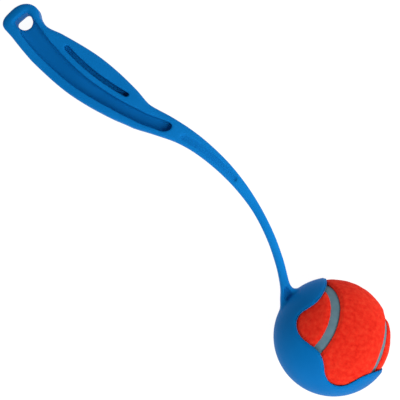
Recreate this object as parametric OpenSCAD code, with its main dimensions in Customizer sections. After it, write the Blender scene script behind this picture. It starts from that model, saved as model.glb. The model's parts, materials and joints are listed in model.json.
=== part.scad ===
// Dog ball launcher: a one-piece moulded stick with a spring cup that holds a felt-covered ball.
// The part lies on its side, resting on the ball and on the end of the handle.
// The stick is drawn flat, with the ball's centre at 0, the handle towards -X and its thickness along Z.
// A place along the stick is measured from the end of the handle.

/* [Ball] */
// Outer diameter of the felt-covered ball as it sits in the cup
ball_d = 63.5; // [54:0.5:72]
// Thickness of the felt cover
felt_t = 3; // [2:0.1:4]
// Wall of the hollow rubber core
core_wall = 4; // [2.5:0.1:6]
// Width of the seam between the two felt panels
seam_w = 5.2; // [2:0.1:6]
// How far the seam lies below the felt
seam_drop = 1; // [0.3:0.1:1.6]
// Tilt of the panels' round ends, which sets how narrow their waists are
lobe_tilt = 10; // [4:0.5:14]
// Gap filled by glue between the pieces of the ball
glue_gap = 0.1; // [0.05:0.01:0.2]
// How the ball is turned in the cup, about X, then Y, then Z
ball_turn = [23.4, -22.2, -159.7]; // [-180:0.1:180]

/* [Cup] */
// Room between the ball and the cup
ball_clearance = 0.3; // [0.2:0.05:0.8]
// Wall of the cup
cup_wall = 1.6; // [1.2:0.1:3]
// Direction that the mouth of the cup faces, from the long axis of the stick
mouth_angle = 77; // [65:1:90]
// How far the two fingers reach past the middle of the ball
finger_reach = 14.5; // [11:0.5:18]
// Width of the side opening between the fingers
throat_w = 47; // [42:0.5:52]
// Depth of the side opening behind the middle of the ball
throat_depth = 15.7; // [12:0.1:19]
// Radius of the corners of the side opening
throat_corner = 9; // [6:0.5:11]
// Height of the hump in the middle of the side opening's edge
hump_h = 4; // [1:0.1:6]
// Radius of the curve that widens the opening towards the finger tips
flare_r = 25; // [20:0.5:32]
// How far behind the middle of the ball that curve starts
flare_start = 3; // [0:0.5:6]

/* [Stick] */
// Length of the handle, from its end to the corner where the arm starts
handle_len = 91.3; // [78:0.1:110]
// Length of the arm, from that corner to the cup
arm_len = 133.5; // [100:0.5:300]
// Height of the bow of the arm above the ball's centre
bow_h = 24; // [18:0.5:30]
// Width of the knob at the end of the handle
end_w = 21.4; // [19:0.1:26]
// Width of the neck behind the knob
neck_w = 19.2; // [17:0.1:24]
// Widest part of the grip
grip_w = 27.2; // [24:0.1:34]
// Width at the corner between handle and arm
corner_w = 16.4; // [13:0.1:20]
// Width of the arm where it is slimmest
arm_w = 5.2; // [4.2:0.1:8]
// Width of the flare where the arm's root dies into the cup
root_w = 20.5; // [16:0.1:24]
// Thickness of the handle
handle_t = 17; // [15:0.5:24]
// Thickness of the arm
arm_t = 9; // [7:0.5:14]
// Thickness of the arm's root on the cup
root_t = 12; // [9:0.5:18]
// Radius of the long edges
edge_r = 2.5; // [1.5:0.5:5]
// Radius of the knob's upper corner
end_r = 10; // [5:0.5:11]
// Radius of the knob's lower corner
end_low_r = 4.5; // [3:0.5:7]
// Radius of the edges round the knob's end
end_edge_r = 6.5; // [4:0.5:7]

/* [Hollows] */
// Diameter of the hanging hole
hang_d = 8.6; // [6:0.1:10]
// Distance from the end of the handle to the middle of the hanging hole
hang_inset = 10; // [9:0.1:13]
// Height of the hanging hole above the middle of the knob
hang_rise = 0.5; // [0:0.1:1]
// Thickness of the web left between the hollows of the two sides
web_t = 5; // [3:0.5:8]
// Thickness of that web at the arm end of the channel and the slot
web_end_t = 2.4; // [2:0.1:5]
// Width of the rim below the channel in the grip
rim_w = 5; // [3.5:0.1:7]
// Width of that rim at the arm end of the channel
rim_end_w = 3; // [2:0.1:4.5]
// Width of the channel beside the hanging hole
channel_w = 11.3; // [9:0.1:13]
// Width of the channel towards the arm
channel_end_w = 7; // [4:0.1:9]
// Distance from the end of the handle to the arm end of the channel
channel_reach = 110.6; // [95:0.1:113]
// Width of the slot above the channel
slot_w = 2.8; // [1.5:0.1:4]
// Length of the slot
slot_len = 45; // [25:0.5:52]
// Distance from the end of the handle to the slot
slot_start = 36; // [31:0.1:45]
// Rib between the channel and the slot
rib_w = 3.1; // [2:0.1:4]
// Width of the shallow groove in each side of the arm
groove_w = 3.1; // [2:0.1:3.6]
// Depth of that groove
groove_depth = 1.4; // [0.5:0.1:2]
// Rim left below the groove where it starts
groove_rim = 3.1; // [1.5:0.1:3.6]
// Rim left below the groove where it ends
groove_end_rim = 1.6; // [1.2:0.1:2]
// Length of the groove
groove_len = 40; // [20:0.5:48]
// Distance from the corner of the handle to the groove
groove_start = 26; // [16:0.5:30]
// Rim left beside the small pocket in the arm's root
root_rim = 2.3; // [1.5:0.1:2.5]
// Widest part of the small pocket in the arm's root
root_pocket_w = 5.2; // [3:0.1:6]
// Length of that pocket
root_pocket_len = 5.9; // [4:0.1:8]
// Depth of that pocket in each side
root_pocket_depth = 3; // [1:0.1:3.5]

/* [Hidden] */
$fn = 96;

BLUE = [0.04, 0.40, 0.71];
RED = [0.92, 0.15, 0.12];
GREY = [0.45, 0.53, 0.52];
BLACK = [0.16, 0.16, 0.17];

ball_r = ball_d / 2;
felt_in_r = ball_r - felt_t;
core_r = felt_in_r - glue_gap;
seam_r = ball_r - seam_drop;
cup_in_r = ball_r + ball_clearance;
cup_r = cup_in_r + cup_wall;
hang_r = hang_d / 2;
stick_len = handle_len + arm_len;
// The root is drawn on into the cup, whose skin cuts it off
root_sink = cup_wall + 1;
cut_len = 3 * cup_r;

function mix(a, b, share) = a + (b - a) * share;
function clamp01(v) = min(1, max(0, v));
function on_handle(share) = handle_len * share;
function on_arm(share) = handle_len + arm_len * share;
function stick_x(place) = place - end_x;

// Half of the side opening's edge, seen from the side: across the mouth, and along the way it faces
RIM_STEPS = 12;
throat_half = throat_w / 2;
hump_half = throat_half - throat_corner;
flare_end = asin((finger_reach + flare_start) / flare_r);
HUMP_EDGE = [for (i = [0:RIM_STEPS])
    [hump_half * i / RIM_STEPS, -throat_depth + hump_h * (1 + cos(180 * i / RIM_STEPS)) / 2]];
CORNER_EDGE = [for (i = [1:RIM_STEPS])
    let (turn = 90 * i / RIM_STEPS)
    [hump_half + throat_corner * sin(turn), -throat_depth + throat_corner * (1 - cos(turn))]];
FLARE_EDGE = [for (i = [0:RIM_STEPS])
    let (turn = flare_end * i / RIM_STEPS)
    [throat_half + flare_r * (1 - cos(turn)), flare_r * sin(turn) - flare_start]];
THROAT_EDGE = concat(HUMP_EDGE, CORNER_EDGE, FLARE_EDGE);

// Lying on its side: the handle's end comes down until it touches the floor under the ball or the hump
end_x = cup_r + stick_len;
rest_arm = norm([end_x - end_edge_r, handle_t / 2]);
function tilt_on(floor_depth) =
    asin(floor_depth / rest_arm) - atan2(handle_t / 2, end_x - end_edge_r);
function hump_depth(tilt) = max([for (p = HUMP_EDGE) for (side = [-1, 1])
    let (across = side * p[0] * sin(mouth_angle) + p[1] * cos(mouth_angle))
    sqrt(cup_r^2 - p[0]^2 - p[1]^2) * cos(tilt) - across * sin(tilt)]);
floor_depth = max(ball_r, hump_depth(tilt_on(ball_r)));
rest_tilt = tilt_on(floor_depth);
end_flat = handle_t / 2 - end_edge_r;
low_x = -(end_x * cos(rest_tilt) + end_flat * sin(rest_tilt));
rest_shift = [-(cup_r + low_x) / 2, (cup_r - ball_r) / 2, floor_depth];

// A smooth curve through the rows of a table, whose first column is the place
function row_at(table, place, i = 0) =
    i >= len(table) - 2 || place < table[i + 1][0] ? i : row_at(table, place, i + 1);
function slope_at(table, col, i) =
    let (a = max(0, i - 1), b = min(len(table) - 1, i + 1))
    (table[b][col] - table[a][col]) / (table[b][0] - table[a][0]);
function curve(table, col, place) =
    let (i = row_at(table, place))
    let (step = table[i + 1][0] - table[i][0])
    let (f = (place - table[i][0]) / step)
    let (rise_a = slope_at(table, col, i) * step, rise_b = slope_at(table, col, i + 1) * step)
    table[i][col] * (2 * f^3 - 3 * f^2 + 1) + rise_a * (f^3 - 2 * f^2 + f)
    + table[i + 1][col] * (3 * f^2 - 2 * f^3) + rise_b * (f^3 - f^2);

// Place along the stick, height of its middle line as a share of the bow, and width
STATIONS = [
    [on_handle(0), 0.1, end_w],
    [on_handle(0.115), 0.08, end_w],
    [on_handle(0.2), -0.005, neck_w],
    [on_handle(0.33), 0.05, mix(neck_w, grip_w, 0.5)],
    [on_handle(0.555), 0.18, grip_w],
    [on_handle(0.725), 0.28, mix(grip_w, corner_w, 0.1)],
    [on_handle(0.9), 0.385, mix(grip_w, corner_w, 0.52)],
    [on_handle(1), 0.445, mix(grip_w, corner_w, 0.92)],
    [on_arm(0.03), 0.49, corner_w],
    [on_arm(0.11), 0.674, mix(corner_w, arm_w, 0.21)],
    [on_arm(0.2), 0.85, mix(corner_w, arm_w, 0.48)],
    [on_arm(0.29), 0.953, mix(corner_w, arm_w, 0.64)],
    [on_arm(0.41), 1, mix(corner_w, arm_w, 0.77)],
    [on_arm(0.53), 0.963, mix(corner_w, arm_w, 0.9)],
    [on_arm(0.65), 0.838, arm_w],
    [on_arm(0.77), 0.613, arm_w],
    [on_arm(0.87), 0.345, mix(arm_w, root_w, 0.025)],
    [on_arm(0.93), 0.14, mix(arm_w, root_w, 0.055)],
    [on_arm(0.96), 0.024, mix(arm_w, root_w, 0.115)],
    [on_arm(0.985), -0.066, mix(arm_w, root_w, 0.31)],
    [on_arm(1), -0.08, mix(arm_w, root_w, 0.5)],
    [on_arm(1) + root_sink, -0.05, root_w]
];
// Place along the stick and thickness
THICKNESS = [
    [on_handle(0), handle_t],
    [on_handle(0.4), handle_t],
    [on_handle(0.8), handle_t],
    [on_arm(0), mix(handle_t, arm_t, 0.12)],
    [on_arm(0.25), mix(handle_t, arm_t, 0.65)],
    [on_arm(0.6), arm_t],
    [on_arm(0.75), arm_t],
    [on_arm(0.9), arm_t],
    [on_arm(1) + root_sink, root_t]
];

// How far a rounded end of radius r pulls the outline in at this place
function end_inset(place, r) = place < r ? r - sqrt(r^2 - (r - place)^2) : 0;
function middle(place) = bow_h * curve(STATIONS, 1, place);
function width(place) = curve(STATIONS, 2, place);
function thick(place) = curve(THICKNESS, 1, place);
function low_edge(place) = middle(place) - width(place) / 2 + end_inset(place, end_low_r);
function high_edge(place) = middle(place) + width(place) / 2 - end_inset(place, end_r);

// The stick's skin: one rounded oblong ring at each place
END_RINGS = 6;
STICK_RINGS = 46;
CORNER_STEPS = 4;
// The edges of the slim arm are rounded by this share of its width
edge_share = 0.3;
RING_PLACES = concat(
    [for (i = [0:END_RINGS]) end_edge_r * (1 - cos(90 * i / END_RINGS))],
    [for (i = [1:STICK_RINGS]) mix(end_edge_r, stick_len + root_sink, i / STICK_RINGS)]
);
function ring(place) =
    let (low = low_edge(place), high = high_edge(place))
    let (half_t = thick(place) / 2 - end_inset(place, end_edge_r))
    let (r = min(edge_r, edge_share * (high - low), 0.9 * half_t))
    [for (quarter = [0:3]) for (i = [0:CORNER_STEPS])
        let (turn = 90 * quarter + 90 * i / CORNER_STEPS)
        let (side_y = quarter == 0 || quarter == 3 ? high - r : low + r)
        let (side_z = quarter < 2 ? half_t - r : r - half_t)
        [stick_x(place), side_y + r * cos(turn), side_z + r * sin(turn)]];

module stick_skin() {
    rings = [for (place = RING_PLACES) ring(place)];
    n = len(rings[0]);
    last = len(rings) - 1;
    skin = [for (k = [0:last - 1]) for (j = [0:n - 1])
        let (next = (j + 1) % n)
        for (face = [
            [k * n + j, (k + 1) * n + next, k * n + next],
            [k * n + j, (k + 1) * n + j, (k + 1) * n + next]
        ]) face];
    caps = [
        [for (j = [0:n - 1]) j],
        [for (j = [n - 1:-1:0]) last * n + j]
    ];
    polyhedron([for (r = rings) each r], concat(skin, caps));
}

// A hollow's outline along the stick: rounded ends of length round_a and round_b
END_STEPS = 5;
TROUGH_STEPS = 14;
function trough_places(a, b, round_a, round_b) = concat(
    [for (i = [0:END_STEPS - 1]) a + round_a * (1 - cos(90 * i / END_STEPS))],
    [for (i = [0:TROUGH_STEPS]) mix(a + round_a, b - round_b, i / TROUGH_STEPS)],
    [for (i = [END_STEPS - 1:-1:0]) b - round_b * (1 - cos(90 * i / END_STEPS))]
);
function round_share(place, a, b, round_a, round_b) =
    let (from_end = min((place - a) / max(round_a, 0.01), (b - place) / max(round_b, 0.01)))
    sqrt(1 - (1 - clamp01(from_end))^2);

// The wide channel along the grip, which starts at the hanging hole
channel_taper_end = on_handle(0.85);
function channel_low(place) =
    let (narrowing = (place - channel_taper_end) / (channel_reach - channel_taper_end))
    low_edge(place) + mix(rim_w, rim_end_w, clamp01(narrowing));
function channel_width(place) =
    mix(channel_w, channel_end_w, clamp01((place - hang_inset) / (channel_taper_end - hang_inset)));
function channel_high(place) = channel_low(place) + channel_width(place);
hang_y = middle(hang_inset) + hang_rise;

module channel_outline() {
    start = hang_inset + hang_r;
    round_end = channel_end_w / 2;
    places = trough_places(start, channel_reach, 0, round_end);
    tip = len(places) - 1;
    function half(i) =
        channel_width(places[i]) / 2 * round_share(places[i], start - 1, channel_reach, 0, round_end);
    function centre(i) = channel_low(places[i]) + channel_width(places[i]) / 2;
    inside_hole = 0.7 * hang_r;
    polygon(concat(
        [[stick_x(hang_inset), hang_y - inside_hole]],
        [for (i = [END_STEPS:tip]) [stick_x(places[i]), centre(i) - half(i)]],
        [for (i = [tip - 1:-1:END_STEPS]) [stick_x(places[i]), centre(i) + half(i)]],
        [[stick_x(hang_inset), hang_y + inside_hole]]
    ));
}

// A hollow with two rounded ends, whose middle and half width follow the stick
module trough_outline(places, middles, halves) {
    tip = len(places) - 1;
    polygon(concat(
        [for (i = [0:tip]) [stick_x(places[i]), middles[i] - halves[i]]],
        [for (i = [tip - 1:-1:1]) [stick_x(places[i]), middles[i] + halves[i]]]
    ));
}

module slot_outline() {
    end = slot_start + slot_len;
    cap = slot_w / 2;
    places = trough_places(slot_start, end, cap, cap);
    trough_outline(
        places,
        [for (p = places) channel_high(p) + rib_w + slot_w / 2],
        [for (p = places) slot_w / 2 * round_share(p, slot_start, end, cap, cap)]
    );
}

module groove_outline() {
    a = handle_len + groove_start;
    b = a + groove_len;
    cap = groove_w / 2;
    places = trough_places(a, b, cap, cap);
    trough_outline(
        places,
        [for (p = places) low_edge(p) + mix(groove_rim, groove_end_rim, (p - a) / groove_len) + cap],
        [for (p = places) cap * round_share(p, a, b, cap, cap)]
    );
}

module root_pocket_outline() {
    a = stick_len - root_pocket_len;
    b = stick_len + root_sink;
    cap = root_pocket_len / 4;
    places = trough_places(a, b, cap, root_sink / 2);
    trough_outline(
        places,
        [for (p = places) middle(p)],
        [for (p = places)
            min(width(p) / 2 - root_rim, root_pocket_w / 2) * round_share(p, a, b, cap, root_sink / 2)]
    );
}

// Cut a hollow into both sides. Its floor slopes from height floor_a at place a to floor_b at place b
module both_sides(a, b, floor_a, floor_b) {
    for (side = [0, 1])
        mirror([0, 0, side])
            translate([stick_x(a), 0, floor_a])
                rotate([0, atan2(floor_a - floor_b, b - a), 0])
                    translate([-stick_x(a), 0, 0])
                        linear_extrude(handle_t)
                            children();
}

module channel() {
    both_sides(hang_inset, channel_reach, web_t / 2, web_end_t / 2)
        channel_outline();
}

module slot() {
    both_sides(slot_start, slot_start + slot_len, web_t / 2, web_end_t / 2)
        slot_outline();
}

// The groove's floor follows the taper of the arm
module groove() {
    a = handle_len + groove_start;
    b = a + groove_len;
    both_sides(a, b, thick(a) / 2 - groove_depth, thick(b) / 2 - groove_depth)
        groove_outline();
}

module root_pocket() {
    pocket_z = thick(stick_len) / 2 - root_pocket_depth;
    both_sides(stick_len - root_pocket_len, stick_len, pocket_z, pocket_z)
        root_pocket_outline();
}

module throat_outline() {
    last = len(THROAT_EDGE) - 1;
    polygon(concat(
        [for (i = [last:-1:1]) [-THROAT_EDGE[i][0], THROAT_EDGE[i][1]]],
        THROAT_EDGE,
        [[cut_len, finger_reach], [cut_len, cut_len], [-cut_len, cut_len], [-cut_len, finger_reach]]
    ));
}

module throat() {
    rotate([0, 0, mouth_angle - 90])
        translate([0, 0, -cut_len / 2])
            linear_extrude(cut_len)
                throat_outline();
}

module lying() {
    translate(rest_shift)
        rotate([0, -rest_tilt, 0])
            children();
}

module shell(outer, inner) {
    difference() {
        sphere(r = outer);
        sphere(r = inner);
    }
}

// The handle and the arm
module stick() {
    color(BLUE)
        lying()
            difference() {
                stick_skin();
                channel();
                slot();
                groove();
                root_pocket();
                translate([stick_x(hang_inset), hang_y, -handle_t])
                    cylinder(h = 2 * handle_t, r = hang_r);
                sphere(r = cup_r);
            }
}

// The spring cup, moulded in one with the stick
module cup() {
    color(BLUE)
        lying()
            difference() {
                shell(cup_r, cup_in_r);
                throat();
            }
}

// The seam runs in four arcs about four tilted axes, which meet in the plane between them
lobe_angle = acos(-sin(lobe_tilt)^2) / 2;
seam_half_angle = asin(seam_w / 2 / seam_r);
glue_angle = asin(glue_gap / felt_in_r);
// A panel's round ends run into its waist by join_len, and are set in from its skin by join_step
join_len = 0.5;
join_step = 0.05;
join_angle = asin(2 * join_step / felt_in_r);
// The angle about the neighbouring axes at which an offset arc still meets its neighbour, less the step
function partner(angle) =
    acos(cos(lobe_tilt) * sin(acos(cos(angle) / cos(lobe_tilt)))) - join_angle;

// What is drawn along Z, set along a pair of opposite lobes' axes
module at_lobes(turn, tilt) {
    for (side = [0, 180])
        rotate([0, 90 - tilt, turn + side])
            children();
}

module lobe_cone(half_angle) {
    near = ball_r / 4;
    far = ball_r * 1.2;
    translate([0, 0, near])
        cylinder(h = far - near, r1 = near * tan(half_angle), r2 = far * tan(half_angle));
}

module half_space(up) {
    translate([-ball_d, -ball_d, up ? 0 : -2 * ball_d])
        cube(2 * ball_d);
}

// Where a panel's round ends lie
module ends_space() {
    translate([0, 0, join_len])
        half_space(false);
}

// All that lies on one panel's side of the seam, margin degrees away from the middle of the seam
module panel_side(margin) {
    difference() {
        half_space(true);
        at_lobes(0, lobe_tilt) lobe_cone(lobe_angle + margin);
    }
    intersection() {
        ends_space();
        at_lobes(90, -lobe_tilt) lobe_cone(partner(lobe_angle + margin));
    }
}

// The second panel is the first one turned over and crosswise
module other_way() {
    rotate([180, 0, 90])
        children();
}

module in_cup() {
    lying()
        rotate(ball_turn)
            children();
}

module core_half_a() {
    color(BLACK)
        in_cup()
            intersection() {
                shell(core_r, core_r - core_wall);
                half_space(true);
            }
}

module core_half_b() {
    color(BLACK)
        in_cup()
            intersection() {
                shell(core_r, core_r - core_wall);
                half_space(false);
            }
}

// A panel's waist, whose poles lie on the X axis, and its two round ends
module felt_panel() {
    difference() {
        rotate([0, 90, 0])
            shell(ball_r, felt_in_r);
        half_space(false);
        at_lobes(0, lobe_tilt) lobe_cone(lobe_angle + seam_half_angle);
    }
    intersection() {
        ends_space();
        at_lobes(90, -lobe_tilt)
            intersection() {
                shell(ball_r - join_step, felt_in_r + join_step);
                lobe_cone(partner(lobe_angle + seam_half_angle));
            }
    }
}

module felt_panel_a() {
    color(RED)
        in_cup()
            felt_panel();
}

module felt_panel_b() {
    color(RED)
        in_cup()
            other_way()
                felt_panel();
}

module seam() {
    color(GREY)
        in_cup()
            difference() {
                shell(seam_r, felt_in_r);
                panel_side(seam_half_angle - glue_angle);
                other_way() panel_side(seam_half_angle - glue_angle);
            }
}

stick();
cup();
core_half_a();
core_half_b();
felt_panel_a();
felt_panel_b();
seam();
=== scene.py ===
# %% [markdown]
# # Dog ball launcher
# A throwing stick for dog walks: a handle, a springy bowed arm and a cup with two fingers, all
# moulded in one shot of blue polypropylene. The cup grips a red felt ball, and the ball snaps out
# of the cup's mouth at the throw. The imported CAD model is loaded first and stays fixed. Each
# visible piece is then modelled again over its CAD node, with the soft edges, the finish and the
# nap that the solids leave out.

import json
import math

import bmesh
import bpy
from mathutils import Euler, Matrix, Vector, kdtree


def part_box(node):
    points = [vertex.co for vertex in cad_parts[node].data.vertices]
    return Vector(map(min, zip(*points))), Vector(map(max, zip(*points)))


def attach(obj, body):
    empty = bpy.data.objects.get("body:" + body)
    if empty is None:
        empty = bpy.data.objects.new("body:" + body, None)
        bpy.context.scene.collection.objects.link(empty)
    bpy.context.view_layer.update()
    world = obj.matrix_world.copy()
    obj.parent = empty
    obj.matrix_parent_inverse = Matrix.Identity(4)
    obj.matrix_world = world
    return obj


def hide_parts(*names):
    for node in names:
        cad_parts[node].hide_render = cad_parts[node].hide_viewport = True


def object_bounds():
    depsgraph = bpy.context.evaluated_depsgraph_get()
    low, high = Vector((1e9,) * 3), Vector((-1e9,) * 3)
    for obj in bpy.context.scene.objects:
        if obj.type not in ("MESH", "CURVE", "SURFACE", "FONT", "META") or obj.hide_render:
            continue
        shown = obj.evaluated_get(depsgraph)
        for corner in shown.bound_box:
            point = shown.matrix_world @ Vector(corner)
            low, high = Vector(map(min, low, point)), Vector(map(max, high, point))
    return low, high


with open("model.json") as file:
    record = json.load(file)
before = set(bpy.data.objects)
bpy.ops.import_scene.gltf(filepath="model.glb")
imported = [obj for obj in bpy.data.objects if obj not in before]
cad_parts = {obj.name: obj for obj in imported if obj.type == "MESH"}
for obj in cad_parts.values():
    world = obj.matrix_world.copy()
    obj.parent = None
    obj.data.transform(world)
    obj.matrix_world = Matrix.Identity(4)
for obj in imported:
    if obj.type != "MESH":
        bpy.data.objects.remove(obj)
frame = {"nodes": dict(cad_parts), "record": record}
cad_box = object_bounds()
print("CAD nodes:", sorted(frame["nodes"]))

# %% [markdown]
# ## Sizes and the resting pose
# The stick is easiest to draw flat: the ball's centre at 0, the handle towards -X, the bow in the
# XY plane and the thickness along Z. The finished meshes are then laid down as the CAD model lies,
# on the ball and the handle's end. That pose isn't typed in again: it is read from the frame, from
# the cup's box and the hanging hole's axis.

# %% Sizes of the ball and the cup, and the resting pose
MM = 0.001
BALL_R = 31.75 * MM
FELT_T = 3 * MM
CUP_IN_R = 32.05 * MM
CUP_R = 33.65 * MM

cup_low, cup_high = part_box("cup")
ball_centre = Vector((cup_high.x - CUP_R, cup_low.y + CUP_R, BALL_R))
side_axis = Vector(frame["record"]["mounts"][0]["axis"])
rest_tilt = math.atan2(-side_axis.x, side_axis.z)
LYING = Matrix.Translation(ball_centre) @ Matrix.Rotation(-rest_tilt, 4, "Y")
print("Ball's centre:", [round(v, 4) for v in ball_centre])
print("Tilt:", round(math.degrees(rest_tilt), 2))

# %% [markdown]
# ## A few hand tools
# Blender's operators act on whatever is selected, so each tool first selects exactly what it needs.
# Modifiers are added and applied at once, which leaves a plain mesh for the next step.

# %% Tools for selecting, for modifiers and for laying a piece down


def pick(piece):
    """Select this object alone and make it active."""
    bpy.ops.object.select_all(action="DESELECT")
    piece.select_set(True)
    bpy.context.view_layer.objects.active = piece


def finish_with(piece, kind, **settings):
    """Add a modifier of this kind to the piece and apply it."""
    pick(piece)
    modifier = piece.modifiers.new(kind, kind)
    for name, value in settings.items():
        setattr(modifier, name, value)
    bpy.ops.object.modifier_apply(modifier=modifier.name)


def combine(piece, tool, operation):
    """Join the tool to the piece, or cut it out of the piece, and throw the tool away."""
    finish_with(piece, "BOOLEAN", object=tool, operation=operation, solver="MANIFOLD")
    bpy.data.objects.remove(tool)


def pick_points(mesh, points):
    """In edit mode, select these points of the mesh and nothing else."""
    bpy.ops.mesh.select_all(action="DESELECT")
    for point in points:
        point.select = True
    mesh.select_flush(True)


def place(piece, matrix):
    """Move a piece and put the move into its mesh, so that its object stays at the origin."""
    pick(piece)
    piece.matrix_world = matrix @ piece.matrix_world
    bpy.ops.object.transform_apply(location=True, rotation=True, scale=True)


def clamp01(value):
    return min(1, max(0, value))


def smooth_step(value):
    share = clamp01(value)
    return share * share * (3 - 2 * share)


def weigh(piece, name, weight_of):
    """A vertex group whose weights come from a function of the point."""
    group = piece.vertex_groups.new(name=name)
    for point in piece.data.vertices:
        group.add([point.index], weight_of(point.co), "REPLACE")


def report(piece):
    print(piece.name, len(piece.data.vertices), "points", len(piece.data.polygons), "faces")


# %% [markdown]
# ## The moulded stick
# On the real launcher the handle and the arm are one long plastic bar that changes width and
# thickness all the way. It could be sculpted, or swept along a curve, but a curve scales both
# directions alike. Here a rounded rectangle is drawn out station by station: extrude its face,
# scale it to the new corner radius, then push its four sides to their places. The same tool also
# draws the shapes that are cut out of the stick.

# %% Draw a rounded bar from station to station
CORNER_STEPS = 5


def fit_side(mesh, ring, axis, side, edge):
    """Push the half of the ring on one side of its middle until it reaches the given edge."""
    along = [point.co[axis] for point in ring]
    middle = (min(along) + max(along)) / 2
    half = [point for point in ring if side * (point.co[axis] - middle) > 0]
    shift = Vector((0, 0, 0))
    shift[axis] = edge - (max(along) if side > 0 else min(along))
    pick_points(mesh, half)
    bpy.ops.transform.translate(value=shift)


def draw_bar(name, stations):
    """A rounded bar along X. A station is (x, low y, high y, low z, high z, corner radius)."""
    x, y_low, y_high, z_low, z_high, radius = stations[0]
    bpy.ops.object.select_all(action="DESELECT")
    centre = (x, (y_low + y_high) / 2, (z_low + z_high) / 2)
    bpy.ops.mesh.primitive_plane_add(size=1, location=centre, rotation=(0, math.pi / 2, 0))
    bar = bpy.context.object
    bar.name = name
    bar.scale = (z_high - z_low, y_high - y_low, 1)
    bpy.ops.object.transform_apply(location=True, rotation=True, scale=True)
    bpy.ops.object.mode_set(mode="EDIT")
    bpy.ops.mesh.select_mode(type="VERT")
    bpy.ops.mesh.select_all(action="SELECT")
    bpy.ops.mesh.bevel(
        affect="VERTICES", offset=radius, offset_type="OFFSET", segments=CORNER_STEPS
    )
    for station in stations[1:]:
        next_x, y_low, y_high, z_low, z_high, next_radius = station
        bpy.ops.mesh.extrude_region_move(TRANSFORM_OT_translate={"value": (next_x - x, 0, 0)})
        mesh = bmesh.from_edit_mesh(bar.data)
        ring = [point for point in mesh.verts if point.select]
        centre = sum((point.co for point in ring), Vector()) / len(ring)
        ratio = next_radius / radius
        bpy.ops.transform.resize(value=(1, ratio, ratio), center_override=centre)
        for axis, side, edge in ((1, -1, y_low), (1, 1, y_high), (2, -1, z_low), (2, 1, z_high)):
            fit_side(mesh, ring, axis, side, edge)
        pick_points(mesh, ring)
        x, radius = next_x, next_radius
    bpy.ops.mesh.select_all(action="SELECT")
    bpy.ops.mesh.normals_make_consistent(inside=False)
    bpy.ops.object.mode_set(mode="OBJECT")
    return bar


# %% [markdown]
# ### The outline of the stick
# The outline was drawn in CAD as a short table: how far along, how high the middle line runs as a
# share of the bow, and how wide the stick is there. The scene repeats that table and runs the same
# smooth curve through it. Only the neck takes one station more here, which softens its curve, and
# the knob's corners and edges are drawn more finely.

# %% Sizes of the stick
HANDLE_LEN = 91.3 * MM
ARM_LEN = 133.5 * MM
BOW_H = 24 * MM
END_W = 21.4 * MM
NECK_W = 19.4 * MM
GRIP_W = 27.2 * MM
CORNER_W = 16.4 * MM
ARM_W = 5.2 * MM
ROOT_W = 20.5 * MM
HANDLE_T = 17 * MM
ARM_T = 9 * MM
ROOT_T = 12 * MM
EDGE_R = 2.5 * MM
EDGE_WIDTH_SHARE = 0.3
EDGE_THICKNESS_SHARE = 0.9
END_R = 10.6 * MM
END_LOW_R = 5.2 * MM
END_EDGE_R = 6.5 * MM
END_EDGE_RISE = 3.1 * MM
END_TRIM = 0.35 * MM
ROOT_SINK = 2.6 * MM
STICK_LEN = HANDLE_LEN + ARM_LEN
END_X = CUP_R + STICK_LEN
print("Stick:", round(STICK_LEN / MM, 1), "mm long")

# %% The stick's table


def mix(a, b, share):
    return a + (b - a) * share


def on_handle(share):
    return HANDLE_LEN * share


def on_arm(share):
    return HANDLE_LEN + ARM_LEN * share


STATIONS = [
    (on_handle(0), 0.106, END_W),
    (on_handle(0.115), 0.088, END_W),
    (on_handle(0.165), 0.025, NECK_W),
    (on_handle(0.235), -0.003, NECK_W),
    (on_handle(0.33), 0.05, mix(NECK_W, GRIP_W, 0.46)),
    (on_handle(0.555), 0.18, GRIP_W),
    (on_handle(0.725), 0.28, mix(GRIP_W, CORNER_W, 0.1)),
    (on_handle(0.9), 0.385, mix(GRIP_W, CORNER_W, 0.52)),
    (on_handle(1), 0.445, mix(GRIP_W, CORNER_W, 0.92)),
    (on_arm(0.03), 0.49, CORNER_W),
    (on_arm(0.11), 0.674, mix(CORNER_W, ARM_W, 0.21)),
    (on_arm(0.2), 0.85, mix(CORNER_W, ARM_W, 0.48)),
    (on_arm(0.29), 0.953, mix(CORNER_W, ARM_W, 0.64)),
    (on_arm(0.41), 1, mix(CORNER_W, ARM_W, 0.77)),
    (on_arm(0.53), 0.963, mix(CORNER_W, ARM_W, 0.9)),
    (on_arm(0.65), 0.838, ARM_W),
    (on_arm(0.77), 0.613, ARM_W),
    (on_arm(0.87), 0.345, mix(ARM_W, ROOT_W, 0.025)),
    (on_arm(0.93), 0.14, mix(ARM_W, ROOT_W, 0.055)),
    (on_arm(0.96), 0.024, mix(ARM_W, ROOT_W, 0.115)),
    (on_arm(0.985), -0.066, mix(ARM_W, ROOT_W, 0.31)),
    (on_arm(1), -0.08, mix(ARM_W, ROOT_W, 0.5)),
    (on_arm(1) + ROOT_SINK, -0.05, ROOT_W),
]
THICKNESS = [
    (on_handle(0), HANDLE_T),
    (on_handle(0.4), HANDLE_T),
    (on_handle(0.8), HANDLE_T),
    (on_arm(0), mix(HANDLE_T, ARM_T, 0.12)),
    (on_arm(0.25), mix(HANDLE_T, ARM_T, 0.65)),
    (on_arm(0.6), ARM_T),
    (on_arm(0.75), ARM_T),
    (on_arm(0.9), ARM_T),
    (on_arm(1) + ROOT_SINK, ROOT_T),
]
print("Stations:", len(STATIONS), "for the outline,", len(THICKNESS), "for the thickness")

# %% Smooth curves through the table


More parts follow.
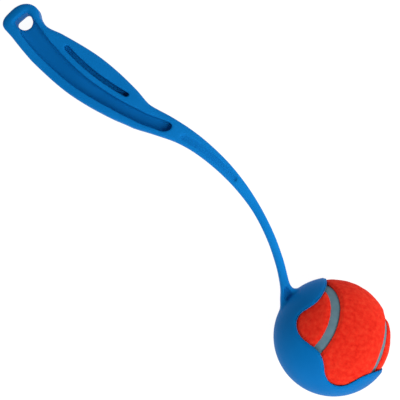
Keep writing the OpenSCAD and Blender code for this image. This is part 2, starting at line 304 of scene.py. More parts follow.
def curve(table, column, spot):
    """A smooth curve through one column of a table, whose first column is the place along."""
    last = len(table) - 1
    i = max(k for k in range(last) if k == 0 or table[k][0] <= spot)

    def slope(k):
        a, b = max(0, k - 1), min(last, k + 1)
        return (table[b][column] - table[a][column]) / (table[b][0] - table[a][0])

    step = table[i + 1][0] - table[i][0]
    f = (spot - table[i][0]) / step
    start, end = table[i][column], table[i + 1][column]
    return (
        start * (2 * f**3 - 3 * f**2 + 1)
        + slope(i) * step * (f**3 - 2 * f**2 + f)
        + end * (3 * f**2 - 2 * f**3)
        + slope(i + 1) * step * (f**3 - f**2)
    )


def end_inset(spot, radius):
    """How far a rounded end of this radius pulls the outline in."""
    return radius - math.sqrt(radius**2 - (radius - spot) ** 2) if spot < radius else 0


def middle_line(spot):
    return BOW_H * curve(STATIONS, 1, spot)


def width(spot):
    return curve(STATIONS, 2, spot)


def thick(spot):
    return curve(THICKNESS, 1, spot)


def low_edge(spot):
    return middle_line(spot) - width(spot) / 2 + end_inset(spot, END_LOW_R)


def high_edge(spot):
    return middle_line(spot) + width(spot) / 2 - end_inset(spot, END_R)


def stick_x(spot):
    return spot - END_X


# %% Draw the stick
END_RINGS = 8
STICK_RINGS = 180


def stick_station(spot):
    low, high = low_edge(spot), high_edge(spot)
    half_t = thick(spot) / 2 - end_inset(spot, END_EDGE_R) * END_EDGE_RISE / END_EDGE_R
    radius = min(EDGE_R, EDGE_WIDTH_SHARE * (high - low), EDGE_THICKNESS_SHARE * half_t)
    trim = END_TRIM * (1 - clamp01(spot / END_EDGE_R))
    return (stick_x(spot) + trim, low, high, -half_t, half_t, radius)


spots = [END_EDGE_R * (1 - math.cos(math.pi / 2 * i / END_RINGS)) for i in range(END_RINGS + 1)]
shares = [i / STICK_RINGS for i in range(1, STICK_RINGS + 1)]
spots += [mix(END_EDGE_R, STICK_LEN + ROOT_SINK, share) for share in shares]
launcher = draw_bar("launcher_moulding", [stick_station(spot) for spot in spots])
report(launcher)

# %% [markdown]
# ### The hollows
# Thick plastic shrinks as it cools, so the mould cores the handle out from both sides: a wide
# channel along the grip, a slim slot above it, a shallow groove along the arm and a small pocket in
# the arm's root. Each is one more bar, drawn along the stick and cut out with a Boolean. Its
# rounded section leaves a soft corner at the floor, as a real mould does.

# %% Sizes of the hollows
EYE_R = 4.65 * MM
HANG_INSET = 10 * MM
EYE_RISE = 0.35 * MM
WEB_T = 5 * MM
WEB_END_T = 2.4 * MM
RIM_W = 5 * MM
RIM_END_W = 3 * MM
CHANNEL_W = 11.3 * MM
CHANNEL_END_W = 7 * MM
CHANNEL_REACH = 110.6 * MM
CHANNEL_TAPER_END = on_handle(0.85)
CHANNEL_CORNER = 1.5 * MM
SLOT_W = 2.8 * MM
SLOT_LEN = 45 * MM
SLOT_START = 36 * MM
SLOT_END = SLOT_START + SLOT_LEN
SLOT_CORNER = 0.8 * MM
RIB_W = 3.1 * MM
GROOVE_W = 3.1 * MM
GROOVE_DEPTH = 1.4 * MM
GROOVE_RIM = 3.1 * MM
GROOVE_END_RIM = 1.6 * MM
GROOVE_LEN = 40 * MM
GROOVE_PAST_HANDLE = 26 * MM
GROOVE_START = HANDLE_LEN + GROOVE_PAST_HANDLE
GROOVE_END = GROOVE_START + GROOVE_LEN
GROOVE_CORNER = 0.5 * MM
ROOT_RIM = 2.3 * MM
POCKET_W = 5.2 * MM
POCKET_LEN = 5.9 * MM
POCKET_DEPTH = 2.8 * MM
POCKET_START = STICK_LEN - POCKET_LEN
POCKET_END = STICK_LEN + ROOT_SINK
POCKET_ROUND = POCKET_LEN / 4
POCKET_END_ROUND = ROOT_SINK / 2
POCKET_CORNER = 0.5 * MM
CORNER_WIDTH_SHARE = 0.45
LEAST_WIDTH_SHARE = 0.06
HOLLOW_SPARE = 3 * MM
HOLLOW_TOP = HANDLE_T / 2 + HOLLOW_SPARE
HOLLOW_RINGS = 40
HOLLOW_END_RINGS = 6
hang_y = middle_line(HANG_INSET) + EYE_RISE
print("Hanging eye:", round(hang_y / MM, 2), "mm above the ball's centre line")

# %% Where the walls and floors of the hollows lie


def channel_low(spot):
    narrowing = clamp01((spot - CHANNEL_TAPER_END) / (CHANNEL_REACH - CHANNEL_TAPER_END))
    return low_edge(spot) + mix(RIM_W, RIM_END_W, narrowing)


def channel_high(spot):
    taper = clamp01((spot - HANG_INSET) / (CHANNEL_TAPER_END - HANG_INSET))
    return channel_low(spot) + mix(CHANNEL_W, CHANNEL_END_W, taper)


def spread(start, end, round_start, round_end):
    """Places along a hollow, closer together in its rounded ends."""
    turns = [math.pi / 2 * i / HOLLOW_END_RINGS for i in range(HOLLOW_END_RINGS)]
    shares = [i / HOLLOW_RINGS for i in range(HOLLOW_RINGS + 1)]
    body = [mix(start + round_start, end - round_end, share) for share in shares]
    first = [start + round_start * (1 - math.cos(turn)) for turn in turns] if round_start else []
    last = [end - round_end * (1 - math.cos(turn)) for turn in reversed(turns)] if round_end else []
    return first + body + last


def roundness(spot, start, end, round_start, round_end):
    """Share of its width that a hollow has at a place, which falls off in its rounded ends."""
    from_start = (spot - start) / round_start if round_start else 1
    from_end = (end - spot) / round_end if round_end else 1
    inside = clamp01(min(from_start, from_end))
    return max(LEAST_WIDTH_SHARE, math.sqrt(1 - (1 - inside) ** 2))


def cut_both_sides(name, spots, sides, floor, corner):
    """Cut a hollow into both faces. sides(spot) and floor(spot) place its walls and floor."""
    for face in (1, -1):
        stations = []
        for spot in spots:
            low, high = sides(spot)
            z_low, z_high = sorted((face * floor(spot), face * HOLLOW_TOP))
            radius = min(corner, CORNER_WIDTH_SHARE * (high - low))
            stations.append((stick_x(spot), low, high, z_low, z_high, radius))
        combine(launcher, draw_bar(name, stations), "DIFFERENCE")


def channel_sides(spot):
    opening = clamp01((spot - HANG_INSET) / EYE_R)
    low = mix(hang_y - EYE_R, channel_low(spot), opening)
    high = mix(hang_y + EYE_R, channel_high(spot), opening)
    half = (high - low) / 2 * roundness(spot, HANG_INSET, CHANNEL_REACH, 0, CHANNEL_END_W / 2)
    return (low + high) / 2 - half, (low + high) / 2 + half


def slot_sides(spot):
    line = channel_high(spot) + RIB_W + SLOT_W / 2
    half = SLOT_W / 2 * roundness(spot, SLOT_START, SLOT_END, SLOT_W / 2, SLOT_W / 2)
    return line - half, line + half


def groove_sides(spot):
    share = (spot - GROOVE_START) / (GROOVE_END - GROOVE_START)
    line = low_edge(spot) + mix(GROOVE_RIM, GROOVE_END_RIM, share) + GROOVE_W / 2
    half = GROOVE_W / 2 * roundness(spot, GROOVE_START, GROOVE_END, GROOVE_W / 2, GROOVE_W / 2)
    return line - half, line + half


def pocket_sides(spot):
    half = min(width(spot) / 2 - ROOT_RIM, POCKET_W / 2)
    half *= roundness(spot, POCKET_START, POCKET_END, POCKET_ROUND, POCKET_END_ROUND)
    return middle_line(spot) - half, middle_line(spot) + half


def web_floor(spot, start, end):
    """The web between the hollows of the two faces gets thinner towards the arm."""
    return mix(WEB_T, WEB_END_T, (spot - start) / (end - start)) / 2


# %% Cut the channel, the slot, the groove and the pocket
cut_both_sides(
    "channel",
    spread(HANG_INSET, CHANNEL_REACH, 0, CHANNEL_END_W / 2),
    channel_sides,
    lambda spot: web_floor(spot, HANG_INSET, CHANNEL_REACH),
    CHANNEL_CORNER,
)
cut_both_sides(
    "slot",
    spread(SLOT_START, SLOT_END, SLOT_W / 2, SLOT_W / 2),
    slot_sides,
    lambda spot: web_floor(spot, SLOT_START, SLOT_END),
    SLOT_CORNER,
)
cut_both_sides(
    "groove",
    spread(GROOVE_START, GROOVE_END, GROOVE_W / 2, GROOVE_W / 2),
    groove_sides,
    lambda spot: thick(spot) / 2 - GROOVE_DEPTH,
    GROOVE_CORNER,
)
cut_both_sides(
    "root_pocket",
    spread(POCKET_START, POCKET_END, POCKET_ROUND, POCKET_END_ROUND),
    pocket_sides,
    lambda spot: thick(STICK_LEN) / 2 - POCKET_DEPTH,
    POCKET_CORNER,
)
report(launcher)

# %% [markdown]
# ### The hanging eye
# The knob has a hole for a hook or a cord. It is round towards the channel and flat towards the
# knob's end. Its wall slopes a little for the mould, and its edge is rounded off at both faces. One
# more bar for each face makes it: the stations run from the flat side, round two small corners, to
# the far end of the arc. The bar is bisected a little below the face. All points from that line up
# are moved towards the knob's end, which gives the slope, and the points at the face are also
# scaled up, which leaves a chamfer for the smoothing to round.

# %% Cut the hanging eye
EYE_FLAT = 2.4 * MM
EYE_CORNER = 1.8 * MM
EYE_SHIFT = -0.3 * MM
EYE_TURN = math.radians(-5)
EYE_STEPS = 12
EYE_SLOPE = 0.8 * MM
EYE_LIP = 1.5 * MM
EYE_OVERLAP = 0.1 * MM
EYE_EDGE_R = 0.05 * MM
FACE_Z = HANDLE_T / 2

turns = [math.pi / 2 * i / EYE_STEPS for i in range(EYE_STEPS)]
eye_edge = [
    (EYE_CORNER * (1 - math.cos(turn)) - EYE_FLAT, EYE_R - EYE_CORNER * (1 - math.sin(turn)))
    for turn in turns
]
eye_edge += [(EYE_R * math.sin(turn), EYE_R * math.cos(turn)) for turn in turns]
eye_at = Vector((stick_x(HANG_INSET) + EYE_SHIFT, hang_y, 0))
for face in (1, -1):
    floor_z, top_z = sorted((face * -EYE_OVERLAP, face * FACE_Z))
    eye = draw_bar("eye", [(x, -half, half, floor_z, top_z, EYE_EDGE_R) for x, half in eye_edge])
    bpy.ops.object.mode_set(mode="EDIT")
    bpy.ops.mesh.select_all(action="SELECT")
    bpy.ops.mesh.bisect(plane_co=(0, 0, face * (FACE_Z - EYE_LIP)), plane_no=(0, 0, 1))
    mesh = bmesh.from_edit_mesh(eye.data)
    pick_points(mesh, [point for point in mesh.verts if face * point.co.z > FACE_Z - 1.5 * EYE_LIP])
    bpy.ops.transform.translate(value=(-EYE_SLOPE, 0, 0))
    pick_points(mesh, [point for point in mesh.verts if face * point.co.z > FACE_Z - 0.5 * EYE_LIP])
    lip_scale = 1 + EYE_LIP / EYE_R
    bpy.ops.transform.resize(value=(lip_scale, lip_scale, 1), center_override=(0, 0, 0))
    bpy.ops.object.mode_set(mode="OBJECT")
    place(eye, Matrix.Translation(eye_at) @ Matrix.Rotation(EYE_TURN, 4, "Z"))
    combine(launcher, eye, "DIFFERENCE")
report(launcher)

# %% [markdown]
# ### The spring cup
# The cup is a hollow ball of plastic with its front cut away, so that two fingers are left to grip
# the felt ball. Two spheres give the wall. The cut is a bar again, drawn across the mouth: its
# lower edge follows the hump in the middle, the two round corners and the flare towards the finger
# tips. The tips are cut a little long, because the smoothing of the next step takes some of them
# away.

# %% Make the cup and cut its mouth
MOUTH_ANGLE = math.radians(77)
FINGER_REACH = 14.5 * MM
TIP_SPARE = 0.7 * MM
THROAT_W = 47 * MM
THROAT_DEPTH = 15.7 * MM
THROAT_CORNER = 9 * MM
HUMP_H = 4 * MM
FLARE_R = 26.8 * MM
FLARE_START = 3 * MM
FLARE_GAP = 0.02 * MM
CUT_LEN = 1.5 * CUP_R
CUT_CORNER = 0.2 * MM
RIM_STEPS = 16
SPHERE_SEGMENTS = 160

throat_half = THROAT_W / 2
hump_half = throat_half - THROAT_CORNER
tip_height = FINGER_REACH + TIP_SPARE
flare_end = math.asin((tip_height + FLARE_START) / FLARE_R)
mouth_edge = []
for i in range(RIM_STEPS + 1):
    share = i / RIM_STEPS
    hump = HUMP_H * (1 + math.cos(math.pi * share)) / 2
    mouth_edge.append((hump_half * share, -THROAT_DEPTH + hump))
for i in range(1, RIM_STEPS + 1):
    turn = math.pi / 2 * i / RIM_STEPS
    across = hump_half + THROAT_CORNER * math.sin(turn)
    mouth_edge.append((across, -THROAT_DEPTH + THROAT_CORNER * (1 - math.cos(turn))))
for i in range(RIM_STEPS + 1):
    turn = flare_end * i / RIM_STEPS
    across = throat_half + FLARE_GAP + FLARE_R * (1 - math.cos(turn))
    mouth_edge.append((across, FLARE_R * math.sin(turn) - FLARE_START))
mouth_edge.append((CUT_LEN, tip_height))
mouth_edge = [(-across, low) for across, low in reversed(mouth_edge[1:])] + mouth_edge

for radius, operation in ((CUP_R, "UNION"), (CUP_IN_R, "DIFFERENCE")):
    bpy.ops.object.select_all(action="DESELECT")
    bpy.ops.mesh.primitive_uv_sphere_add(
        segments=SPHERE_SEGMENTS, ring_count=SPHERE_SEGMENTS // 2, radius=radius
    )
    combine(launcher, bpy.context.object, operation)
stations = [(across, low, CUT_LEN, -CUT_LEN, CUT_LEN, CUT_CORNER) for across, low in mouth_edge]
throat = draw_bar("throat", stations)
place(throat, Matrix.Rotation(MOUTH_ANGLE - math.pi / 2, 4, "Z"))
combine(launcher, throat, "DIFFERENCE")
report(launcher)

# %% [markdown]
# ### Soft moulded edges
# No edge on a moulding is sharp. A bevel would trip over the mess of small faces that the Booleans
# leave, so the whole solid is rebuilt as an even skin with a voxel remesh, and a light smoothing
# then rounds every edge alike.

# %% Rebuild the skin and round its edges
SKIN_STEP = 0.64 * MM
SMOOTHING = 0.5
SMOOTHING_ROUNDS = 6

finish_with(launcher, "REMESH", mode="VOXEL", voxel_size=SKIN_STEP, use_smooth_shade=True)
finish_with(launcher, "SMOOTH", factor=SMOOTHING, iterations=SMOOTHING_ROUNDS)
report(launcher)

# %% [markdown]
# ### The lip of the cup
# The cup's wall thins towards the edge of its mouth, so that the fingers ride easily over the ball.
# The skin is even by now, so a Displace modifier can sink its outer side: a vertex group holds how
# near each point lies to the edge.

# %% Thin the lip and lay the moulding down
LIP_W = 2 * MM
LIP_DEPTH = 0.85 * MM
LIP_STEP = 0.3 * MM
FLAT_MOUTH = Matrix.Rotation(math.pi / 2 - MOUTH_ANGLE, 4, "Z")

lip_line = []
for (a, low_a), (b, low_b) in zip(mouth_edge, mouth_edge[1:]):
    steps = math.ceil(math.hypot(b - a, low_b - low_a) / LIP_STEP)
    shares = [i / steps for i in range(steps)]
    lip_line += [Vector((mix(a, b, share), mix(low_a, low_b, share), 0)) for share in shares]
near_lip = kdtree.KDTree(len(lip_line))
for i, spot in enumerate(lip_line):
    near_lip.insert(spot, i)
near_lip.balance()


def lip_weight(point):
    """1 on the outer skin at the mouth's edge, 0 in the wall's inner half and far from the edge."""
    wall_middle = (CUP_R + CUP_IN_R) / 2
    if not wall_middle < point.length < CUP_R + LIP_STEP:
        return 0
    outward = clamp01((point.length - wall_middle) / (CUP_R - wall_middle))
    spot = FLAT_MOUTH @ point
    spot.z = 0
    return outward * (1 - smooth_step(near_lip.find(spot)[2] / LIP_W))


weigh(launcher, "lip", lip_weight)
finish_with(launcher, "DISPLACE", strength=-LIP_DEPTH, mid_level=0, vertex_group="lip")
place(launcher, LYING)
pick(launcher)
bpy.ops.object.shade_smooth()
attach(launcher, "launcher")
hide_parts("stick", "cup")
report(launcher)

# %% [markdown]
# ## The ball's seam and felt
# A felt ball is covered by two panels shaped like dumbbells, with a rubber seam between them. The
# seam's line is four arcs of circles. Each arc lies in a plane, so a sphere can be cut along it
# with the bisect tool. The panel on one side of the line is cut once and copied for the other side,
# and both are thickened inwards.

# %% The seam's arcs
LOBE_TILT = math.radians(10)
SEAM_W = 5.2 * MM
SEAM_DROP = 1 * MM
SEAM_R = BALL_R - SEAM_DROP
BALL_ANGLES = [math.radians(angle) for angle in (23.4, -22.2, -159.7)]
BALL_TURN = Euler(BALL_ANGLES, "XYZ").to_matrix().to_4x4()
IN_CUP = LYING @ BALL_TURN

lobe_angle = math.acos(-math.sin(LOBE_TILT) ** 2) / 2
seam_half_angle = math.asin(SEAM_W / 2 / SEAM_R)
inner_angle = lobe_angle - seam_half_angle
outer_angle = lobe_angle + seam_half_angle
UPPER_AXES = [Vector((side * math.cos(LOBE_TILT), 0, math.sin(LOBE_TILT))) for side in (1, -1)]
LOWER_AXES = [Vector((0, side * math.cos(LOBE_TILT), -math.sin(LOBE_TILT))) for side in (1, -1)]


def partner(angle):
    """The angle about the lower axes at which an arc meets an upper arc of this angle."""
    rise = math.acos(math.cos(angle) / math.cos(LOBE_TILT))
    return math.acos(math.cos(LOBE_TILT) * math.sin(rise))


def past_edge(direction):
    """How far a direction lies inside the first panel, as an angle from the panel's edge."""
    if direction.z > 0:
        return min(direction.angle(axis) for axis in UPPER_AXES) - outer_angle
    return partner(outer_angle) - min(direction.angle(axis) for axis in LOWER_AXES)


# %% Tools for cutting a shell along an arc
MERGE_GAP = 0.01 * MM


def in_quarter(spot, axis):
    """Whether a place lies in the quarter of the ball that an arc's axis points into."""
    return spot.z * axis.z > 0 and spot.x * axis.x + spot.y * axis.y > 0


def round_shell(name, radius, fineness):
    """A sphere in edit mode, split along the planes that part its quarters."""
    bpy.ops.object.select_all(action="DESELECT")
    bpy.ops.mesh.primitive_ico_sphere_add(subdivisions=fineness, radius=radius)
    piece = bpy.context.object
    piece.name = name
    bpy.ops.object.mode_set(mode="EDIT")
    bpy.ops.mesh.select_mode(type="FACE")
    for normal in ((1, 0, 0), (0, 1, 0), (0, 0, 1)):
        bpy.ops.mesh.select_all(action="SELECT")
        bpy.ops.mesh.bisect(plane_co=(0, 0, 0), plane_no=normal)
    return piece


def cut_arc(piece, radius, axis, angle, **cleared):
    """In edit mode, cut the axis's quarter of a shell along the arc at this angle from the axis."""
    mesh = bmesh.from_edit_mesh(piece.data)
    bpy.ops.mesh.select_all(action="DESELECT")
    for face in mesh.faces:
        face.select = in_quarter(face.calc_center_median(), axis)
    bmesh.update_edit_mesh(piece.data)
    bpy.ops.mesh.bisect(plane_co=axis * radius * math.cos(angle), plane_no=axis, **cleared)


def close_cuts():
    """Merge the points that the cuts left double, turn the faces outwards and leave edit mode."""
    bpy.ops.mesh.select_all(action="SELECT")
    bpy.ops.mesh.remove_doubles(threshold=MERGE_GAP)
    bpy.ops.mesh.normals_make_consistent(inside=False)
    bpy.ops.object.mode_set(mode="OBJECT")


# %% Cut the seam strip
SEAM_T = 2 * MM
SEAM_FINENESS = 6
SEAM_EDGE_ANGLE = math.radians(40)

seam = round_shell("seam_strip", SEAM_R, SEAM_FINENESS)
for axis in UPPER_AXES + LOWER_AXES:
    cut_arc(seam, SEAM_R, axis, inner_angle, clear_outer=True)
    cut_arc(seam, SEAM_R, axis, outer_angle, clear_inner=True)
close_cuts()
finish_with(seam, "SOLIDIFY", thickness=SEAM_T, offset=-1)
place(seam, IN_CUP)
pick(seam)
bpy.ops.object.shade_smooth_by_angle(angle=SEAM_EDGE_ANGLE)
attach(seam, "ball")
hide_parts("seam")
report(seam)

# %% Cut the first felt panel
FELT_FINENESS = 7

felt_a = round_shell("felt_cover_a", BALL_R, FELT_FINENESS)
for axis in UPPER_AXES:
    cut_arc(felt_a, BALL_R, axis, outer_angle, clear_outer=True)
for axis in LOWER_AXES:
    cut_arc(felt_a, BALL_R, axis, partner(outer_angle), clear_inner=True)
close_cuts()
report(felt_a)

# %% [markdown]
# ### The nap
# Brushed felt is never smooth: it is lumpy, it rolls down at the seam, and where the cup doesn't
# press it, it swells. Vertex groups say how strongly each point takes part, and Displace modifiers
# with cloud textures move them. Where the ball lies on the floor its felt is pressed flat, so the
# points that reach below the floor are flattened.

# %% How much the felt rolls and swells at a point
ROLL_W = 2.4 * MM
ROLL_DEPTH = 0.85 * MM
SWELL = 0.5 * MM
SWELL_EDGE = 2 * MM


def mouth_edge_at(across):
    """The height of the mouth's lower edge at a place across the mouth."""
    for (a, low_a), (b, low_b) in zip(mouth_edge, mouth_edge[1:]):
        if a <= across <= b:
            return mix(low_a, low_b, (across - a) / (b - a))
    return tip_height


def freedom(point):
    """How free the felt is at a point of the flat drawing: 0 under the cup, 1 in its mouth."""
    spot = FLAT_MOUTH @ point
    return smooth_step((spot.y - mouth_edge_at(spot.x)) / SWELL_EDGE)


def roll_weight(point):
    """How strongly the felt rolls down at a point: 1 at the seam, 0 well away from it."""
    return 1 - smooth_step(past_edge(point.normalized()) * BALL_R / ROLL_W)


# %% Roll the edges, raise the lumps and let the free felt swell
LUMP_H = 0.4 * MM
LUMP_SIZE = 5 * MM
PILL_H = 0.14 * MM
PILL_SIZE = 1.4 * MM


def cloud(name, size, depth):
    texture = bpy.data.textures.new(name, "CLOUDS")
    texture.noise_scale = size
    texture.noise_depth = depth
    return texture


lumps = cloud("felt_lumps", LUMP_SIZE, depth=2)
pills = cloud("felt_pills", PILL_SIZE, depth=1)


def make_nap(panel, turned):
    """Give a panel its nap and lay it in the cup. turned brings it to its own side of the ball."""
    weigh(panel, "roll", roll_weight)
    flat = BALL_TURN @ turned
    weigh(panel, "swell", lambda point: freedom(flat @ point))
    finish_with(panel, "DISPLACE", strength=-ROLL_DEPTH, mid_level=0, vertex_group="roll")
    finish_with(panel, "DISPLACE", strength=SWELL, mid_level=0, vertex_group="swell")
    finish_with(panel, "DISPLACE", texture=lumps, strength=LUMP_H, mid_level=0.5)
    finish_with(panel, "DISPLACE", texture=pills, strength=PILL_H, mid_level=0.5)
    finish_with(panel, "SOLIDIFY", thickness=FELT_T - ROLL_DEPTH, offset=-1)
    place(panel, IN_CUP @ turned)
    bpy.ops.object.mode_set(mode="EDIT")
    mesh = bmesh.from_edit_mesh(panel.data)
    bpy.ops.mesh.select_mode(type="VERT")
    pick_points(mesh, [point for point in mesh.verts if point.co.z < 0])
    bpy.ops.transform.resize(value=(1, 1, 0), center_override=(0, 0, 0))
    bpy.ops.object.mode_set(mode="OBJECT")
    bpy.ops.object.shade_smooth()
    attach(panel, "ball")


OTHER_WAY = Matrix.Rotation(math.pi / 2, 4, "Z") @ Matrix.Rotation(math.pi, 4, "X")
pick(felt_a)
bpy.ops.object.duplicate()
felt_b = bpy.context.object
felt_b.name = "felt_cover_b"
make_nap(felt_a, Matrix.Identity(4))
make_nap(felt_b, OTHER_WAY)
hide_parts("felt_panel_a")
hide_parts("felt_panel_b")
report(felt_a)
report(felt_b)

# %% [markdown]
# ## Finishes
# Each finish is built from noise on Object coordinates, so it stays with the piece when the piece
# moves. The numbers that hold all over a surface are set straight on the shader.

# %% A start for every finish


def new_finish(name, roughness):
    """A material with its shader, and the Object coordinates that its patterns use."""
    material = bpy.data.materials.new(name)
    material.use_nodes = True
    nodes = material.node_tree.nodes
    shader = nodes["Principled BSDF"]
    shader.inputs["Roughness"].default_value = roughness
    coordinates = nodes.new("ShaderNodeTexCoord").outputs["Object"]
    return material, shader, coordinates


def noise(material, coordinates, scale, detail):
    node = material.node_tree.nodes.new("ShaderNodeTexNoise")
    node.inputs["Scale"].default_value = scale
    node.inputs["Detail"].default_value = detail
    material.node_tree.links.new(coordinates, node.inputs["Vector"])
    return node.outputs["Fac"]


def ramp(material, value, stops):
    """Turn a value from 0 to 1 into a colour. A stop is (position, colour)."""
    node = material.node_tree.nodes.new("ShaderNodeValToRGB")
    elements = node.color_ramp.elements
    while len(elements) < len(stops):
        elements.new(0.5)
    for element, (position, colour) in zip(elements, stops):
        element.position = position
        element.color = (*colour, 1)
    material.node_tree.links.new(value, node.inputs["Fac"])
    return node.outputs["Color"]


def along_part(material, coordinates, start, end):
    """A value that runs from 0 to 1 between two places along the part's length."""
    split = material.node_tree.nodes.new("ShaderNodeSeparateXYZ")
    node = material.node_tree.nodes.new("ShaderNodeMapRange")
    node.inputs["From Min"].default_value = start
    node.inputs["From Max"].default_value = end
    material.node_tree.links.new(coordinates, split.inputs["Vector"])
    material.node_tree.links.new(split.outputs["X"], node.inputs["Value"])
    return node.outputs["Result"]


def blend_colours(material, share, first, second):
    """The first colour where the share is 0, the second where it is 1."""
    node = material.node_tree.nodes.new("ShaderNodeMixRGB")
    for socket, source in (("Fac", share), ("Color1", first), ("Color2", second)):
        material.node_tree.links.new(source, node.inputs[socket])
    return node.outputs["Color"]


def set_colour(material, shader, source):
    material.node_tree.links.new(source, shader.inputs["Base Color"])


def bump(material, shader, height, strength, depth):
    node = material.node_tree.nodes.new("ShaderNodeBump")
    node.inputs["Strength"].default_value = strength
    node.inputs["Distance"].default_value = depth
    material.node_tree.links.new(height, node.inputs["Height"])
    material.node_tree.links.new(node.outputs["Normal"], shader.inputs["Normal"])


def dress(piece, material):
    piece.data.materials.clear()
    piece.data.materials.append(material)


# %% [markdown]
# ### The plastic
# Polypropylene is a little see-through. The handle and the cup are too thick or too dark inside to
# show it, but the slim arm lets some light pass and looks lighter. A full translucent shader would
# be slow and noisy for so small an effect, so that light is painted into the colour instead: the
# colour is made lighter along the arm as painted light, with soft ends. The colour is also clouded
# a little all over.

# %% Blue polypropylene
ROOT_FADE = 4 * MM
ARM_TO_X = ball_centre.x - CUP_R + ROOT_FADE
ARM_FROM_X = ARM_TO_X - ARM_LEN
BLACK, GREY, WHITE = (0, 0, 0), (0.5, 0.5, 0.5), (1, 1, 1)
PAINTED_LIGHT_STOPS = [(0.08, BLACK), (0.24, GREY), (0.54, WHITE), (0.92, WHITE), (1, BLACK)]

plastic, shader, coordinates = new_finish("blue_polypropylene", roughness=0.42)
shader.inputs["Specular IOR Level"].default_value = 0.012
clouding = noise(plastic, coordinates, scale=45, detail=3)
blue = ramp(plastic, clouding, [(0.3, (0.002, 0.135, 0.41)), (0.7, (0.003, 0.15, 0.445))])
# Painted light: a lighter copy of the blue, mixed in along the arm in place of the light passing
# through the thin plastic.
painted_lit_blue = ramp(plastic, clouding, [(0.3, (0.004, 0.18, 0.54)), (0.7, (0.005, 0.2, 0.58))])
painted_light_share = ramp(plastic, along_part(plastic, coordinates, ARM_FROM_X, ARM_TO_X), PAINTED_LIGHT_STOPS)
set_colour(plastic, shader, blend_colours(plastic, painted_light_share, blue, painted_lit_blue))
grain = noise(plastic, coordinates, scale=1400, detail=2)
bump(plastic, shader, grain, strength=0.12, depth=0.05 * MM)
dress(launcher, plastic)
print("Plastic:", plastic.name)

# %% Red felt
RED_STOPS = [(0.3, (0.7, 0.018, 0.009)), (0.5, (0.78, 0.03, 0.014)), (0.72, (0.82, 0.05, 0.022))]

felt, shader, coordinates = new_finish("brushed_felt", roughness=0.95)
shader.inputs["Diffuse Roughness"].default_value = 1
shader.inputs["Sheen Weight"].default_value = 0.06
shader.inputs["Sheen Roughness"].default_value = 0.5
shader.inputs["Sheen Tint"].default_value = (1, 0.1, 0.05, 1)
shader.inputs["Specular IOR Level"].default_value = 0.05
mottle = noise(felt, coordinates, scale=420, detail=6)
set_colour(felt, shader, ramp(felt, mottle, RED_STOPS))
fibres = noise(felt, coordinates, scale=1600, detail=5)
bump(felt, shader, fibres, strength=0.4, depth=0.3 * MM)
dress(felt_a, felt)
dress(felt_b, felt)
print("Felt:", felt.name)

# %% Grey seam rubber and the dark core
seam_rubber, shader, coordinates = new_finish("grey_seam_rubber", roughness=0.75)
dust = noise(seam_rubber, coordinates, scale=300, detail=4)
grey = ramp(seam_rubber, dust, [(0.3, (0.085, 0.17, 0.215)), (0.7, (0.11, 0.21, 0.26))])
set_colour(seam_rubber, shader, grey)
grain = noise(seam_rubber, coordinates, scale=900, detail=3)
bump(seam_rubber, shader, grain, strength=0.3, depth=0.1 * MM)
dress(seam, seam_rubber)

core_rubber, shader, coordinates = new_finish("dark_core_rubber", roughness=0.7)
bloom = noise(core_rubber, coordinates, scale=120, detail=4)
black = ramp(core_rubber, bloom, [(0.35, (0.018, 0.018, 0.019)), (0.7, (0.034, 0.033, 0.034))])
set_colour(core_rubber, shader, black)
grain = noise(core_rubber, coordinates, scale=700, detail=2)
bump(core_rubber, shader, grain, strength=0.2, depth=0.1 * MM)
for name in ("core_half_a", "core_half_b"):
    dress(frame["nodes"][name], core_rubber)
print("Rubbers:", seam_rubber.name, core_rubber.name)

# %% [markdown]
# ## Stage, light and camera
# The picture to match is lit softly, on plain white, from beyond the cup and from both sides, low
# over the floor. Three large lamps do that: one high beyond the cup's end, one behind the cup's
# back and one before its mouth. A dim white sky lights the hollows, and the floor glows so that it
# stays white and the shadows on it stay faint.

# %% Floor, sky and lamps
FLOOR_SIZE = 6
FLOOR_GLOW = 0.95
SKY_GLOW = 0.24
LAMP_FAR = 1.6
LAMP_SIZE = 1.2

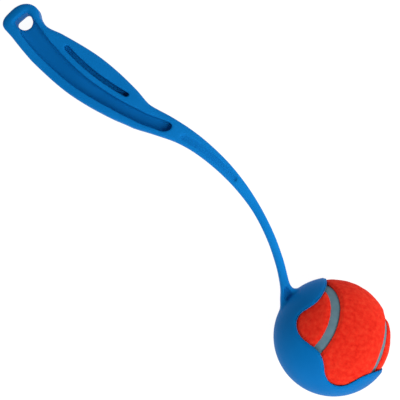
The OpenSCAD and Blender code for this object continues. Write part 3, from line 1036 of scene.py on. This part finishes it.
bpy.ops.object.select_all(action="DESELECT")
bpy.ops.mesh.primitive_plane_add(size=FLOOR_SIZE)
floor = bpy.context.object
floor.name = "floor"
paper, shader, coordinates = new_finish("paper_floor", roughness=0.9)
grain = noise(paper, coordinates, scale=8, detail=2)
set_colour(paper, shader, ramp(paper, grain, [(0, (0.1, 0.1, 0.1)), (1, (0.12, 0.12, 0.12))]))
shader.inputs["Emission Color"].default_value = (1, 1, 1, 1)
shader.inputs["Emission Strength"].default_value = FLOOR_GLOW
dress(floor, paper)

world = bpy.data.worlds.new("soft_sky")
world.use_nodes = True
sky = world.node_tree.nodes["Background"]
sky.inputs["Color"].default_value = (1, 1, 1, 1)
sky.inputs["Strength"].default_value = SKY_GLOW
bpy.context.scene.world = world
bpy.context.scene.view_settings.view_transform = "Standard"

middle_of_part = (cad_box[0] + cad_box[1]) / 2


def soft_lamp(name, direction, power):
    """A square lamp that looks at the part from the given direction."""
    spot = middle_of_part + Vector(direction).normalized() * LAMP_FAR
    bpy.ops.object.light_add(type="AREA", location=spot)
    lamp = bpy.context.object
    lamp.name = name
    lamp.data.size = LAMP_SIZE
    lamp.data.energy = power
    lamp.rotation_euler = (middle_of_part - spot).to_track_quat("-Z", "Y").to_euler()
    print(name, "at", [round(v, 3) for v in spot])


soft_lamp("end_lamp", (0.55, 0, 0.85), power=22.5)
soft_lamp("back_lamp", (0.4, -0.85, 0.33), power=11.7)
soft_lamp("mouth_lamp", (0.17, 0.9, 0.42), power=11.5)

# %% The camera, square to the side of the stick
CAMERA_AT = Vector((-107.86, 1.44, 707.75)) * MM
CAMERA_LENS = 112.5
CAMERA_SENSOR_W = 36
CAMERA_ROLL = math.radians(45)

bpy.ops.object.camera_add()
camera = bpy.context.object
camera.name = "camera"
camera.data.lens = CAMERA_LENS
camera.data.sensor_width = CAMERA_SENSOR_W
camera.matrix_world = LYING @ Matrix.Translation(CAMERA_AT) @ Matrix.Rotation(CAMERA_ROLL, 4, "Z")
bpy.context.scene.camera = camera
print("Camera at", [round(v, 3) for v in camera.matrix_world.translation])
